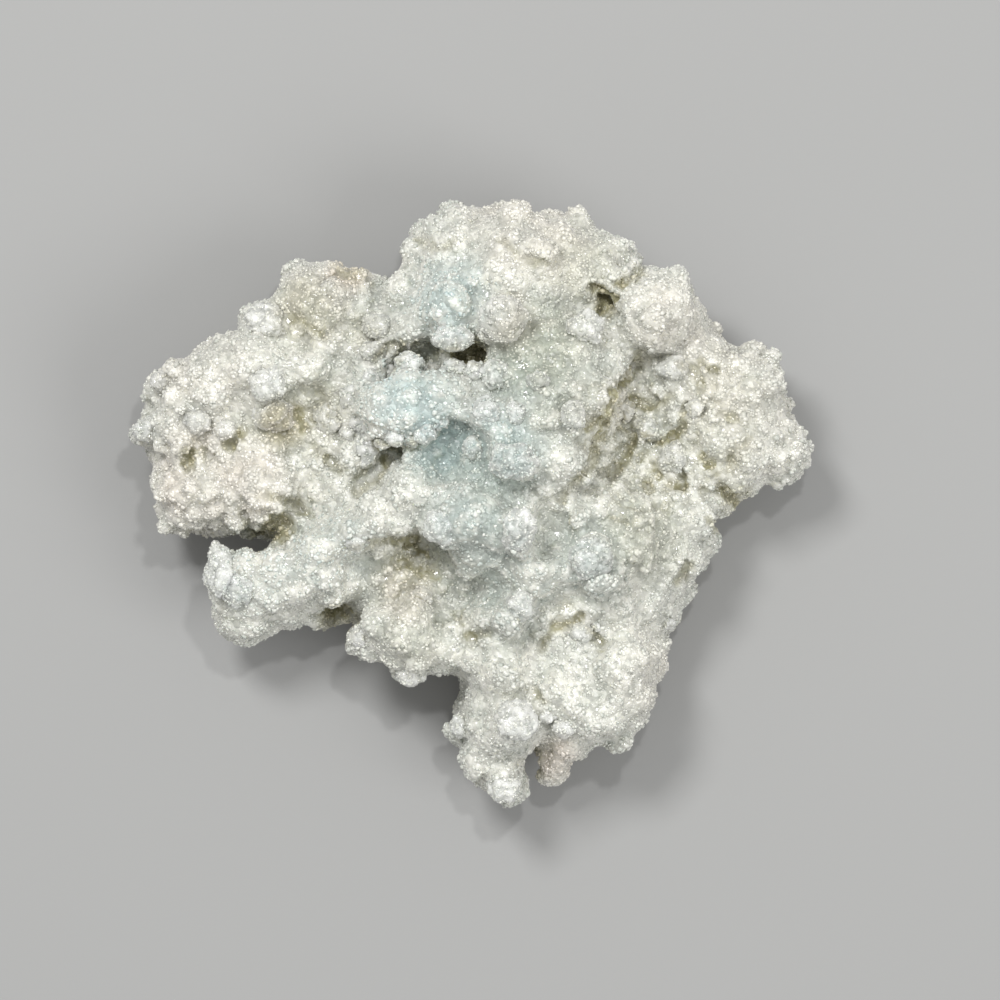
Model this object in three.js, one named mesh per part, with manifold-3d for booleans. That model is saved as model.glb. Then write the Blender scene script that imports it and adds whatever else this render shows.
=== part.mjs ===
// Blue aragonite, a loose hand specimen about 96 mm wide: one knobbly mass of grown-together
// crusts, with a finger-like arm on its left, a wing on its right and two lobes at its foot.
// It lies on its broken back, with its show face up. Millimetres, +Z up, +Y towards the crown.

import * as THREE from 'three';
import { ImprovedNoise } from 'three/addons/math/ImprovedNoise.js';
import { mergeVertices } from 'three/addons/utils/BufferGeometryUtils.js';
import Module from 'manifold-3d';

const wasm = await Module();
wasm.setup();

// Driving sizes
const WIDTH = 96;                // across the specimen, from nose to wing tip
const LENGTH = 85;               // from the crown to the toe
const SEAT_DEPTH = 1.2;          // how much of the lowest bulges is broken off flat at the back
const LUMP_WAVINESS = 0.13;      // how far a lump departs from an even ellipsoid, as a share
const WAVES_PER_RADIUS = 1.7;    // how closely those swells follow each other
const BUD_SINK = 0.3;            // a bud's centre lies this share of its radius below its lump's skin
const BUD_SPREAD = 0.5;          // from the smallest to the largest bud of a lump, as a share
const BUD_TOP = 0.96;            // buds stand from this share of the lump's half height
const BUD_SPAN = 1.25;           // down through this share of it
const CLEAR_DEPTH = 0.85;        // a bud deeper than this in a neighbour is left out
const LUMP_FACET = 2.4;          // about the facet edge that a lump starts with
const FRONT_FACET = 1.15;        // shortest facet edge left on the show face
const BACK_FACET = 3.2;          // and on the hidden back, below BACK_TOP
const BACK_TOP = 7;
const LEAST_AGREEMENT = 0.25;    // a facet's new and old normals have at least this dot product

// Every lump: at is its centre, half its half sizes, turn its angle about +Z in degrees.
// buds small buds of radius bud stand on it. Heights are above the seat plane.
const CROWN = [
  { at: [-1.8, 35.2, 14], half: [6.6, 7, 11], buds: 16, bud: 2.0 },
  { at: [6.5, 32.5, 15.5], half: [9, 9.4, 13.5], buds: 10, bud: 2.6 },
  { at: [5, 38.5, 13], half: [6, 4.1, 7.5], buds: 8, bud: 1.5 },
  { at: [14.5, 33, 14], half: [8.8, 7.4, 12], turn: -25, buds: 12, bud: 2.4 },
  { at: [19.5, 34, 12], half: [4.6, 4.4, 9], buds: 6, bud: 1.7 },
  { at: [11.5, 39.5, 12], half: [3.4, 2.5, 7] },
  { at: [-3, 28.5, 21], half: [4.6, 5.3, 10] },
  { at: [-2.6, 23.8, 24], half: [2.8, 2.3, 4.5] },
  { at: [4, 26.2, 22.5], half: [4.3, 3.9, 8.5] },
  { at: [-8.8, 30, 14], half: [3, 3, 7.5], buds: 6, bud: 1.2 },
  { at: [-8.2, 25.2, 17], half: [3.1, 3.4, 9], buds: 5, bud: 1.4 },
];

const SHOULDER = [
  { at: [25.8, 27.5, 19.5], half: [6, 6, 11], buds: 9, bud: 2.0 },
  { at: [30.7, 28.2, 17], half: [2.5, 2.2, 4.5], buds: 4, bud: 0.9 },
  { at: [27.4, 32.2, 15], half: [1.5, 1.5, 4] },
  { at: [30, 24, 13], half: [5.4, 4, 9] },
  { at: [18.2, 24.8, 13], half: [4, 3.6, 11] },
];

const WING = [
  { at: [39.6, 18, 12.5], half: [4.4, 4.8, 9.5], buds: 16, bud: 1.6 },
  { at: [32.5, 19.3, 13], half: [6.6, 4.2, 10.5], buds: 12, bud: 1.9 },
  { at: [35.4, 16.4, 20.5], half: [2.1, 2, 3.2] },
  { at: [39.2, 14.6, 19.5], half: [1.9, 2.2, 3] },
  { at: [42.6, 13.2, 15], half: [1.9, 2.1, 5] },
  { at: [33, 21.6, 21], half: [1.9, 1.7, 2.8] },
  { at: [37.2, 19.8, 21], half: [1.7, 1.8, 2.6] },
  { at: [35, 9.6, 20.5], half: [2, 2, 3] },
  { at: [40.4, 10.4, 18.5], half: [2.1, 1.9, 3.4] },
  { at: [33.8, 5, 18], half: [1.8, 1.7, 3.4] },
  { at: [36.8, 4.2, 16], half: [1.9, 1.9, 4.2] },
  { at: [28.6, 14.6, 18.5], half: [1.8, 1.9, 3.2] },
  { at: [29, 22, 18], half: [2, 1.7, 4] },
  { at: [27.6, 18.6, 14], half: [3, 2.9, 8] },
  { at: [36.5, 12.5, 11.5], half: [7, 5.6, 10.5], buds: 12, bud: 2.0 },
  { at: [31.5, 12.3, 15], half: [2.6, 3, 7] },
  { at: [43.1, 8.3, 11.5], half: [4.7, 4.8, 8], buds: 7, bud: 1.5 },
  { at: [38.6, 7, 13], half: [3.4, 4.4, 9.5], buds: 6, bud: 1.6 },
  { at: [31, 7.5, 10.5], half: [4.4, 3.8, 9.5], buds: 8, bud: 1.7 },
  { at: [36.4, 1.4, 9], half: [2.6, 2.1, 6] },
];

// The low ground between the wing and the raised centre, with small separate knobs on it
const CREVICE = [
  { at: [24, 11, 6], half: [9, 10, 12.5], buds: 14, bud: 1.7 },
  { at: [22, 12.2, 14.5], half: [2, 2.1, 3] },
  { at: [25.4, 9.8, 14.5], half: [2.9, 2.5, 3.6] },
  { at: [20, 7.2, 14], half: [2.3, 2, 4] },
  { at: [23.9, 16.4, 14], half: [1.6, 1.4, 3] },
  { at: [27.8, 6, 15], half: [2.3, 1.9, 3.5] },
  { at: [25.8, 2.8, 14], half: [1.9, 1.6, 3.4] },
  { at: [21, 3.4, 15], half: [2.6, 1.9, 4] },
];

const CENTRE = [
  { at: [11.6, 20.5, 18.5], half: [9.4, 7.4, 12.4], buds: 8, bud: 2.2 },
  { at: [15.6, 15.8, 20.5], half: [4.6, 5.2, 10.5] },
  { at: [7.4, 22.6, 25.5], half: [3.2, 2.8, 4.8] },
  { at: [12.6, 25, 24.5], half: [2.4, 2.2, 4] },
  { at: [18.4, 15.6, 27.5], half: [2.4, 2.8, 3.6] },
  { at: [6.6, 18.2, 27.5], half: [2.4, 2.2, 4] },
  { at: [20.3, 19.2, 20], half: [2.6, 2.4, 6] },
  { at: [15.8, 24.2, 25.5], half: [2.1, 2, 3] },
  { at: [9.2, 17.4, 30.5], half: [2, 1.7, 2.6] },
  { at: [12.8, 17, 30.5], half: [2.1, 1.8, 2.6] },
  { at: [2, 12.9, 29.5], half: [2.5, 2.6, 4.2] },
  { at: [6.4, 13.8, 29], half: [2.7, 2.5, 4.4] },
  { at: [10.2, 12.8, 29], half: [3.1, 2.8, 5.5] },
  { at: [13.8, 12.1, 30], half: [2, 2.2, 3.6] },
  { at: [6, 7.6, 26.5], half: [4.7, 3.9, 9], buds: 6, bud: 1.5 },
  { at: [0.3, 7.6, 25], half: [1.8, 2, 5] },
  { at: [12.2, 6.6, 22], half: [4.1, 4.8, 11], buds: 7, bud: 1.6 },
  { at: [10.2, 2.6, 22], half: [3, 2.5, 9] },
  { at: [-3.5, 8.5, 11], half: [7, 6, 9.5] },
];

// The blue shelf that overhangs the hollow in the middle of the show face
const LEDGE = [
  { at: [-9.3, 13.9, 25.5], half: [5.9, 4.4, 7.2], buds: 12, bud: 1.7 },
  { at: [-2.9, 15.6, 25.5], half: [4.1, 3.8, 6.8], turn: 35, buds: 5, bud: 1.5 },
  { at: [-8.4, 18.6, 26.5], half: [2.6, 1.9, 4] },
  { at: [3.1, 18.8, 25.5], half: [2.3, 2.2, 4.4] },
  { at: [-6.2, 10.8, 26], half: [2, 1.9, 4] },
  { at: [-13.5, 16.4, 22.5], half: [1.8, 1.7, 4] },
];

const LOWER_CENTRE = [
  { at: [0.8, -0.6, 21.5], half: [6.6, 6.6, 13.5], buds: 5, bud: 1.9 },
  { at: [6.6, -3.3, 29.5], half: [2.3, 3.4, 5] },
  { at: [-3.3, -2.5, 28], half: [2.5, 2.9, 5.2] },
  { at: [1, -6, 21], half: [4.5, 3.2, 9], buds: 6, bud: 1.4 },
  { at: [9.5, -8.6, 18.5], half: [6.2, 4.6, 11.5] },
  { at: [17, -6.5, 20], half: [4.8, 4.4, 11.5], buds: 7, bud: 1.9 },
  { at: [14.8, -0.8, 22], half: [2.3, 2.2, 6] },
  { at: [17.4, -9.8, 26], half: [2.6, 1.8, 4] },
  { at: [18.5, 0.8, 18], half: [4.5, 3.6, 8] },
];

// The arm that lies across the front to the lower left
const FINGER = [
  { at: [-8.6, 2.6, 22], half: [5.6, 4.2, 9.2], turn: 35, buds: 8, bud: 1.6 },
  { at: [-13, -1.4, 21.5], half: [6.6, 4, 9], turn: 25, buds: 6, bud: 1.8 },
  { at: [-20, -5.2, 19.5], half: [6.8, 3.9, 8.6], turn: 27, buds: 6, bud: 1.8 },
  { at: [-25.5, -9.4, 17.5], half: [6.4, 4.9, 8.4], turn: 15, buds: 8, bud: 2.0 },
  { at: [-30.6, -10.6, 16], half: [4.8, 4.7, 7.6], buds: 7, bud: 1.8 },
  { at: [-34.7, -9.6, 16.5], half: [2.5, 4.4, 5.8] },
  { at: [-31, -15.7, 14], half: [5.2, 2.9, 6], turn: 6, buds: 12, bud: 1.2 },
  { at: [-24.4, -14.2, 13.5], half: [3.4, 2.4, 5.4], buds: 5, bud: 1.1 },
  { at: [-18.7, -11.2, 19], half: [2.7, 2.5, 5.6] },
  { at: [-20.4, -14.9, 11], half: [2.1, 2.1, 4] },
];

const LOWER_LOBE = [
  { at: [-9.2, -17.2, 17.5], half: [6, 4.9, 9.5], turn: -15, buds: 10, bud: 1.9 },
  { at: [-14, -18.7, 15.5], half: [2.7, 2.8, 5.4] },
  { at: [-8.4, -21.8, 14.5], half: [2.7, 2.8, 6] },
  { at: [-3.6, -18.6, 15], half: [4.2, 4.2, 9.5], buds: 6, bud: 1.6 },
  { at: [-7.3, -12.8, 23.5], half: [1.8, 1.7, 3] },
  { at: [-11, -8, 8.5], half: [8, 6.5, 10.5] },
  { at: [-4, -11.5, 9.5], half: [6.5, 5.5, 11] },
  { at: [-16.4, -14, 8.5], half: [2.4, 2.4, 4.5] },
  { at: [-0.9, -22.6, 11], half: [1.3, 1.6, 4] },
];

const RIGHT_SIDE = [
  { at: [22.5, -3.8, 14.5], half: [5.4, 6.6, 12], buds: 6, bud: 2.2 },
  { at: [29.6, -0.8, 12], half: [5.4, 4.6, 9.5], turn: 20, buds: 9, bud: 2.0 },
  { at: [29.4, -6.6, 12], half: [3.7, 4.6, 9], turn: -25, buds: 7, bud: 1.7 },
  { at: [25.4, -11.6, 12], half: [4, 3.8, 9.5], buds: 8, bud: 1.6 },
  { at: [20.8, -13.2, 14], half: [4, 3.6, 10.5], buds: 6, bud: 1.7 },
  { at: [27, -16.6, 11], half: [1.7, 1.5, 3.6] },
];

const FOOT = [
  { at: [21, -21.8, 13.5], half: [5.7, 6.6, 11], buds: 6, bud: 2.4 },
  { at: [19.4, -27.2, 13], half: [6.4, 5.4, 10.5], turn: 20, buds: 6, bud: 2.4 },
  { at: [13.6, -26.4, 15], half: [4.4, 5, 9], buds: 6, bud: 1.8 },
  { at: [14.6, -31.6, 12], half: [4.6, 3, 7.5], turn: 30, buds: 5, bud: 1.5 },
  { at: [12, -35, 9.5], half: [2.8, 3.2, 6] },
  { at: [10.9, -37.7, 9], half: [1.9, 2, 4.2] },
  { at: [13, -17, 8.5], half: [5.5, 4.5, 9] },
  { at: [15, -18.6, 16.5], half: [2, 1.8, 3.6] },
];

const TOE = [
  { at: [5.7, -14.9, 24], half: [2.6, 2.6, 5.6] },
  { at: [2.4, -15, 18], half: [2.9, 3.3, 9.5], buds: 6, bud: 1.3 },
  { at: [4.4, -21.6, 14.5], half: [4.6, 4.6, 11], buds: 11, bud: 1.7 },
  { at: [5.6, -30, 16.5], half: [4.3, 4.3, 9.5] },
  { at: [1.6, -29.6, 12.5], half: [3, 4.6, 9], buds: 9, bud: 1.5 },
  { at: [1.8, -34.6, 11.5], half: [3.4, 3.8, 7.5], buds: 8, bud: 1.4 },
  { at: [5, -37.6, 11.5], half: [3.2, 4.4, 7] },
  { at: [-2.2, -30.9, 12], half: [1.3, 1.7, 3.6] },
];

const LEFT_BLOCK = [
  { at: [-38.2, 2.6, 13.5], half: [5.9, 4.6, 10], buds: 14, bud: 1.9 },
  { at: [-40.8, -0.4, 12.5], half: [2.9, 2.9, 7.5], buds: 6, bud: 1.3 },
  { at: [-34.2, 0, 12.5], half: [4, 2.9, 8.5], buds: 7, bud: 1.4 },
  { at: [-29, 4, 15], half: [6.2, 5.2, 10.5], buds: 7, bud: 2.2 },
  { at: [-28.5, 0, 13], half: [3.6, 2.5, 8], buds: 5, bud: 1.4 },
  { at: [-25.5, -2.4, 12.5], half: [2.2, 2, 6.5], buds: 5, bud: 1 },
  { at: [-40, 11, 13.5], half: [5.2, 3.7, 9.5], buds: 10, bud: 1.7 },
  { at: [-45.9, 10.4, 13], half: [2.2, 1.8, 3.6] },
  { at: [-43.2, 12.2, 12.5], half: [2.2, 2.2, 5] },
  { at: [-34.2, 10.6, 15.5], half: [3, 2.4, 7.5] },
  { at: [-43.4, 6.2, 12], half: [1.7, 1.3, 3.6] },
];

const LEFT_UPPER = [
  { at: [-36.6, 17.4, 14.5], half: [7.4, 5, 10.5], turn: 24, buds: 16, bud: 1.8 },
  { at: [-42.6, 17, 12.5], half: [2.8, 2.1, 5.5], buds: 5, bud: 1.1 },
  { at: [-40.6, 19, 12], half: [3, 2, 6.5], turn: 30, buds: 5, bud: 1.1 },
  { at: [-35, 22.3, 12.5], half: [3.8, 2.1, 7], turn: 20, buds: 6, bud: 1.2 },
  { at: [-30.8, 20.2, 16.5], half: [5.8, 4.8, 10], turn: 15, buds: 9, bud: 1.8 },
  { at: [-28.2, 16.9, 23], half: [2.7, 2.7, 3.6] },
  { at: [-22.6, 19.6, 18], half: [4.6, 2.8, 8.5], buds: 6, bud: 1.5 },
  { at: [-23.5, 12.5, 8.5], half: [8.5, 6, 10.5] },
  { at: [-27.2, 10.8, 19], half: [3, 2.7, 3.6] },
  { at: [-21.4, 10.2, 18], half: [2.2, 2.4, 4] },
  { at: [-28.6, 14.4, 22], half: [2.2, 2.9, 3], turn: -15 },
  { at: [-35.6, 14.6, 22], half: [2.6, 1.9, 3], turn: 20 },
  { at: [-31, 8.6, 21], half: [2.2, 1.7, 2.8] },
  { at: [-25.6, 20.4, 23], half: [2.2, 1.5, 3] },
  { at: [-33, 21.8, 21.5], half: [2.4, 1.8, 3.2], turn: 20 },
];

const PEAK = [
  { at: [-21.8, 28.6, 13.5], half: [5.7, 6.4, 9.5], buds: 12, bud: 1.5 },
  { at: [-17, 29.2, 12.5], half: [3.6, 5.3, 9.5], buds: 9, bud: 1.2 },
  { at: [-19.2, 29.3, 21.2], half: [2.2, 1.8, 2.2] },
  { at: [-28.4, 26.4, 14], half: [3.8, 3.2, 8], buds: 8, bud: 1.3 },
  { at: [-20.6, 22.8, 17], half: [3.2, 2.2, 7] },
  { at: [-12.8, 26.5, 13.5], half: [2.7, 3.3, 8] },
  { at: [-14.4, 21.2, 15], half: [2.4, 1.5, 6] },
  { at: [-10.4, 21, 8], half: [5.5, 4.6, 8.5] },
  { at: [-17.2, 14.2, 17], half: [2.6, 3.2, 7], buds: 8, bud: 1.3 },
  { at: [-16.8, 18.8, 19], half: [2.2, 1.9, 5] },
  { at: [-12.6, 20, 18.5], half: [2.3, 2, 4] },
  { at: [-16.4, 7.4, 17], half: [3, 2.9, 7.5], buds: 8, bud: 1.4 },
  { at: [-13.2, 10.6, 20.5], half: [1.8, 1.7, 3.2] },
  { at: [-18.4, 3, 15.5], half: [3.2, 3, 7.5], buds: 6, bud: 1.4 },
  { at: [-22.4, 5.4, 12.5], half: [3.2, 3.6, 9], buds: 5, bud: 1.4 },
];

// Broad lumps of the ground mass, which carry the others and are broken off flat at the seat
const GROUND = [
  { at: [8, 6, 7], half: [19, 19, 9] },
  { at: [-12, 6, 7], half: [15, 13, 8.5] },
  { at: [22.5, 20, 8], half: [8, 7, 11] },
  { at: [0, 20.5, 9], half: [9, 6, 12] },
  { at: [25.5, -14.5, 8], half: [4.6, 4.2, 9] },
  { at: [-24, 14.5, 11], half: [8.5, 5.5, 9.8], buds: 10, bud: 1.5 },
  { at: [-13.5, 8, 12], half: [7, 6.5, 9.8], buds: 8, bud: 1.5 },
  { at: [-2, 9.5, 13], half: [6.5, 5.5, 11.5] },
  { at: [-25, -0.5, 9.5], half: [6, 4, 10.2], buds: 6, bud: 1.3 },
  { at: [-11, -9.5, 11.5], half: [8, 6, 10], buds: 8, bud: 1.5 },
  { at: [12, -14.5, 12], half: [8.5, 5.5, 11.5], buds: 9, bud: 1.6 },
  { at: [15.5, 0, 14], half: [6, 6, 11], buds: 6, bud: 1.5 },
  { at: [-12.5, 27, 10], half: [5, 5.5, 9] },
  { at: [5.5, 30.5, 12], half: [13.6, 10.6, 12.8], buds: 16, bud: 2.3 },
  { at: [15, 30, 11], half: [9, 8, 12] },
  { at: [10.5, 13.5, 14], half: [11, 12, 16.5], buds: 14, bud: 2.2 },
  { at: [4, -3.5, 13], half: [10, 8.5, 15], buds: 12, bud: 2.1 },
  { at: [32, 12.5, 8.5], half: [12.6, 10, 9.4], turn: -12, buds: 34, bud: 1.9 },
  { at: [23.3, -4.8, 9.5], half: [10, 10.4, 13], turn: -30, buds: 16, bud: 2.1 },
  { at: [13.8, -23.8, 9.5], half: [10.6, 10.2, 12.5], turn: -20, buds: 18, bud: 2 },
  { at: [3.5, -26, 9], half: [4.6, 11, 10.5], turn: -6 },
  { at: [-7, -13, 9.5], half: [8.6, 8.6, 11], buds: 10, bud: 1.8 },
  { at: [-31.5, 9, 9.5], half: [13, 9.6, 11.5], buds: 20, bud: 2 },
  { at: [-36.5, 2, 9.5], half: [7.4, 4.8, 10.5] },
  { at: [-30, 18, 9.5], half: [12.5, 5.8, 13.5], turn: 22, buds: 14, bud: 1.8 },
  { at: [-19, 23.5, 8.5], half: [8.5, 8, 12], turn: 20, buds: 10, bud: 1.7 },
  { at: [-11, 23, 8.5], half: [7, 6, 12] },
  { at: [-18.5, 8, 8], half: [8, 9.5, 11.5], buds: 10, bud: 1.8 },
];

// Narrow deep gaps that reach well into the mass
const PITS = [
  { at: [18.9, 28.9, 24], half: [1.1, 2.2, 8.5], turn: 35 },
  { at: [22.7, 19, 20], half: [1, 2.2, 7], turn: -15 },
  { at: [10.2, -27, 23], half: [1, 1.9, 6.5], turn: 20 },
];

const MASSES = [
  ...CROWN, ...SHOULDER, ...WING, ...CREVICE, ...CENTRE, ...LEDGE, ...LOWER_CENTRE,
  ...FINGER, ...LOWER_LOBE, ...RIGHT_SIDE, ...FOOT, ...TOE, ...LEFT_BLOCK, ...LEFT_UPPER,
  ...PEAK, ...GROUND,
];

const noise = new ImprovedNoise();
const GOLDEN_ANGLE = Math.PI * (3 - Math.sqrt(5));

// A repeatable share from 0 to 1 for a whole number
function chance(n) {
  const wave = Math.sin(n * 127.1 + 311.7) * 43758.5453;
  return wave - Math.floor(wave);
}

function placementOf({ at, turn = 0 }) {
  const angle = new THREE.Euler(0, 0, THREE.MathUtils.degToRad(turn));
  return new THREE.Matrix4().makeRotationFromEuler(angle).setPosition(...at);
}

const meanOf = (half) => (half[0] + half[1] + half[2]) / 3;

// An uneven rounded lump, as a closed mesh in the specimen's frame
function lumpGeometry(lump) {
  const splits = Math.max(1, Math.round(meanOf(lump.half) / LUMP_FACET) - 1);
  const geometry = new THREE.IcosahedronGeometry(1, splits);
  const position = geometry.getAttribute('position');
  const [seedX, seedY, seedZ] = lump.at;
  const point = new THREE.Vector3();
  for (let i = 0; i < position.count; i++) {
    point.fromBufferAttribute(position, i);
    const place = point.clone().multiplyScalar(WAVES_PER_RADIUS);
    const swell = noise.noise(place.x + seedX, place.y + seedY, place.z + seedZ);
    point.multiplyScalar(1 + LUMP_WAVINESS * swell);
    point.multiply(new THREE.Vector3(...lump.half));
    position.setXYZ(i, point.x, point.y, point.z);
  }
  return geometry.applyMatrix4(placementOf(lump));
}

// A geometry as a solid, with the vertices that its faces share merged
function solidOf(geometry) {
  const bare = geometry.clone();
  bare.deleteAttribute('normal');
  bare.deleteAttribute('uv');
  const merged = mergeVertices(bare, 1e-4);
  return new wasm.Manifold(new wasm.Mesh({
    numProp: 3,
    vertProperties: new Float32Array(merged.getAttribute('position').array),
    triVerts: new Uint32Array(merged.index.array),
  }));
}

// How deep a point lies in a lump: under 1 is inside it
function depthIn(lump, point) {
  const local = point.clone().applyMatrix4(placementOf(lump).invert());
  return local.divide(new THREE.Vector3(...lump.half)).length();
}

// The small buds that stand out of one lump, spread evenly over its upper side and flanks
function budsOf(lump, index) {
  const buds = [];
  const place = placementOf(lump);
  for (let i = 0; i < (lump.buds ?? 0); i++) {
    const height = BUD_TOP - BUD_SPAN * (i + 0.5) / lump.buds;
    const around = i * GOLDEN_ANGLE + 2 * Math.PI * chance(index);
    const across = Math.sqrt(1 - height * height);
    const out = new THREE.Vector3(across * Math.cos(around), across * Math.sin(around), height);
    const size = lump.bud * (1 + BUD_SPREAD * (chance(index * 31 + i) - 0.5));
    const reach = 1 - BUD_SINK * size / meanOf(lump.half);
    const centre = out.multiply(new THREE.Vector3(...lump.half)).multiplyScalar(reach).applyMatrix4(place);
    const buried = MASSES.some((other) => other !== lump && depthIn(other, centre) < CLEAR_DEPTH);
    if (buried) continue;
    buds.push({ at: centre.toArray(), half: [size, size, size] });
  }
  return buds;
}

// Draws the two ends of each short edge together, shortest first, so that the slivers which
// joining leaves are gone. The surface stays closed, and what lies in the seat stays flat.
function withoutShortEdges({ vertProperties, triVerts }, seatHeight) {
  const points = [];
  for (let i = 0; i < vertProperties.length; i += 3) {
    points.push(new THREE.Vector3(...vertProperties.slice(i, i + 3)));
  }
  const faces = [];
  const facesAt = points.map(() => new Set());
  for (let i = 0; i < triVerts.length; i += 3) {
    const face = [triVerts[i], triVerts[i + 1], triVerts[i + 2]];
    for (const corner of face) facesAt[corner].add(faces.length);
    faces.push(face);
  }
  const normalOf = (a, b, c) => new THREE.Triangle(a, b, c).getNormal(new THREE.Vector3());
  const neighboursOf = (v) => new Set([...facesAt[v]].flatMap((f) => faces[f]).filter((w) => w !== v));
  const inSeat = (v) => Math.abs(points[v].z - seatHeight) < 1e-4;
  const limitAt = (p) => (p.z < BACK_TOP ? BACK_FACET : FRONT_FACET);

  // Whether every facet round one end keeps facing its way when that end moves to meeting
  const keepsFacing = (v, other, meeting) => [...facesAt[v]].every((f) => {
    if (faces[f].includes(other)) return true;
    const before = faces[f].map((w) => points[w]);
    const after = faces[f].map((w) => (w === v ? meeting : points[w]));
    return normalOf(...before).dot(normalOf(...after)) > LEAST_AGREEMENT;
  });

  for (let merged = 1; merged > 0;) {
    merged = 0;
    const short = [];
    faces.forEach((face) => face?.forEach((a, k) => {
      const b = face[(k + 1) % 3];
      const length = points[a].distanceTo(points[b]);
      if (a < b && length < limitAt(points[a])) short.push([length, a, b]);
    }));
    short.sort((m, n) => m[0] - n[0]);
    const touched = new Set();
    for (const [, a, b] of short) {
      if (touched.has(a) || touched.has(b)) continue;
      const around = neighboursOf(b);
      const shared = [...neighboursOf(a)].filter((v) => around.has(v));
      if (shared.length !== 2) continue;
      let meeting = points[a].clone().add(points[b]).multiplyScalar(0.5);
      if (inSeat(a) !== inSeat(b)) meeting = points[inSeat(a) ? a : b].clone();
      if (!keepsFacing(a, b, meeting) || !keepsFacing(b, a, meeting)) continue;
      for (const f of [...facesAt[b]]) {
        if (faces[f].includes(a)) {
          for (const corner of faces[f]) facesAt[corner].delete(f);
          faces[f] = null;
        } else {
          faces[f] = faces[f].map((w) => (w === b ? a : w));
          facesAt[a].add(f);
        }
      }
      points[a] = meeting;
      [a, b, ...around].forEach((v) => touched.add(v));
      merged += 1;
    }
  }
  const geometry = new THREE.BufferGeometry();
  geometry.setFromPoints(points);
  geometry.setIndex(faces.filter(Boolean).flat());
  return geometry;
}

// All lumps and buds joined, pitted, and cut off flat at the back
function clusterGeometry() {
  const lumps = [...MASSES, ...MASSES.flatMap(budsOf)];
  let cluster = wasm.Manifold.union(lumps.map((lump) => solidOf(lumpGeometry(lump))));
  for (const pit of PITS) cluster = cluster.subtract(solidOf(lumpGeometry(pit)));
  const belowSeat = new THREE.BoxGeometry(2 * WIDTH, 2 * LENGTH, WIDTH);
  belowSeat.translate(0, 0, SEAT_DEPTH - WIDTH / 2);
  cluster = cluster.subtract(solidOf(belowSeat));
  const outside = cluster.decompose().sort((a, b) => b.volume() - a.volume())[0];
  const geometry = withoutShortEdges(outside.getMesh(), SEAT_DEPTH);
  geometry.computeBoundingBox();
  const { min, max } = geometry.boundingBox;
  geometry.translate(-(min.x + max.x) / 2, -(min.y + max.y) / 2, -min.z);
  geometry.computeVertexNormals();
  return geometry;
}

const aragoniteMaterial = new THREE.MeshStandardMaterial({
  color: new THREE.Color(0.78, 0.8, 0.76),
  roughness: 0.45,
  metalness: 0,
});

const specimen = new THREE.Group();
const cluster = new THREE.Mesh(clusterGeometry(), aragoniteMaterial);
cluster.name = 'aragonite_cluster';
specimen.add(cluster);

export default specimen;
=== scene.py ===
import math
import time

import bmesh
import bpy
import numpy as np
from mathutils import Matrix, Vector, noise
from mathutils.bvhtree import BVHTree


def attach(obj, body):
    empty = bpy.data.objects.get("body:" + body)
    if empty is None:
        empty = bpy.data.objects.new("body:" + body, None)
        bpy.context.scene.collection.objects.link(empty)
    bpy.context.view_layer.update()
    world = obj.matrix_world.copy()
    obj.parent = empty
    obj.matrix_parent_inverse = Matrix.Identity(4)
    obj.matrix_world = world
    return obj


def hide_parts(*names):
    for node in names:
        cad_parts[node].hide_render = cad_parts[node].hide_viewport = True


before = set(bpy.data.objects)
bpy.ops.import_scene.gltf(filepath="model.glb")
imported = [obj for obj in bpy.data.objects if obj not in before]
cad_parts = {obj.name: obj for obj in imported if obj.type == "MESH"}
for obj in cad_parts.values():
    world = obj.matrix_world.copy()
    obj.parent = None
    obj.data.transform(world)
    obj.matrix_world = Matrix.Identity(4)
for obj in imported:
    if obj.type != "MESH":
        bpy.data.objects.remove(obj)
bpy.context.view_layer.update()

mm = 0.001
patchEdge = (0.35, 1.5)  # shares of its radius over which a patch fades out
clock = time.time()
noise.seed_set(7)  # without a seed, noise_vector differs from run to run


def report(text):
    print(f"[{time.time() - clock:5.1f} s] {text}")


# small helpers for meshes and masks

def meshFromArrays(name, points, triangles):
    # points in metres, triangles as rows of three corners
    mesh = bpy.data.meshes.new(name)
    mesh.vertices.add(len(points))
    mesh.vertices.foreach_set("co", np.asarray(points, np.float32).ravel())
    mesh.loops.add(triangles.size)
    mesh.loops.foreach_set("vertex_index", triangles.astype(np.int32).ravel())
    mesh.polygons.add(len(triangles))
    mesh.polygons.foreach_set("loop_start", np.arange(0, triangles.size, 3, dtype=np.int32))
    mesh.update(calc_edges=True)
    return mesh


def newPiece(name, mesh, material):
    piece = bpy.data.objects.new(name, mesh)
    bpy.context.scene.collection.objects.link(piece)
    mesh.materials.clear()
    mesh.materials.append(material)
    return piece


def pointsOf(mesh):
    points = np.zeros(len(mesh.vertices) * 3, np.float32)
    mesh.vertices.foreach_get("co", points)
    return points.reshape(-1, 3).astype(float)


def normalsOf(mesh):
    normals = np.zeros(len(mesh.vertices) * 3, np.float32)
    mesh.vertex_normals.foreach_get("vector", normals)
    return normals.reshape(-1, 3).astype(float)


def cornersOf(mesh):
    # corner indices of a mesh made only of triangles
    corners = np.zeros(len(mesh.loops), np.int32)
    mesh.loops.foreach_get("vertex_index", corners)
    return corners.reshape(-1, 3)


def ramp(values, low, high):
    # smooth 0 to 1 between low and high
    share = np.clip((np.asarray(values, float) - low) / (high - low), 0, 1)
    return share * share * (3 - 2 * share)


def noiseAt(points, acrossMm, shift=(0, 0, 0)):
    return np.array([noise.noise(Vector(p) / acrossMm + Vector(shift)) for p in points])


def storeTone(mesh, tone):
    # one colour attribute: red is blue tint, green is stain with painted shade in hollows, blue is warmth,
    # alpha is frost with painted highlights on rims and painted shade in hollows
    layer = mesh.color_attributes.new("tone", "FLOAT_COLOR", "POINT")
    layer.data.foreach_set("color", np.clip(tone, 0, 1).astype(np.float32).ravel())
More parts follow.
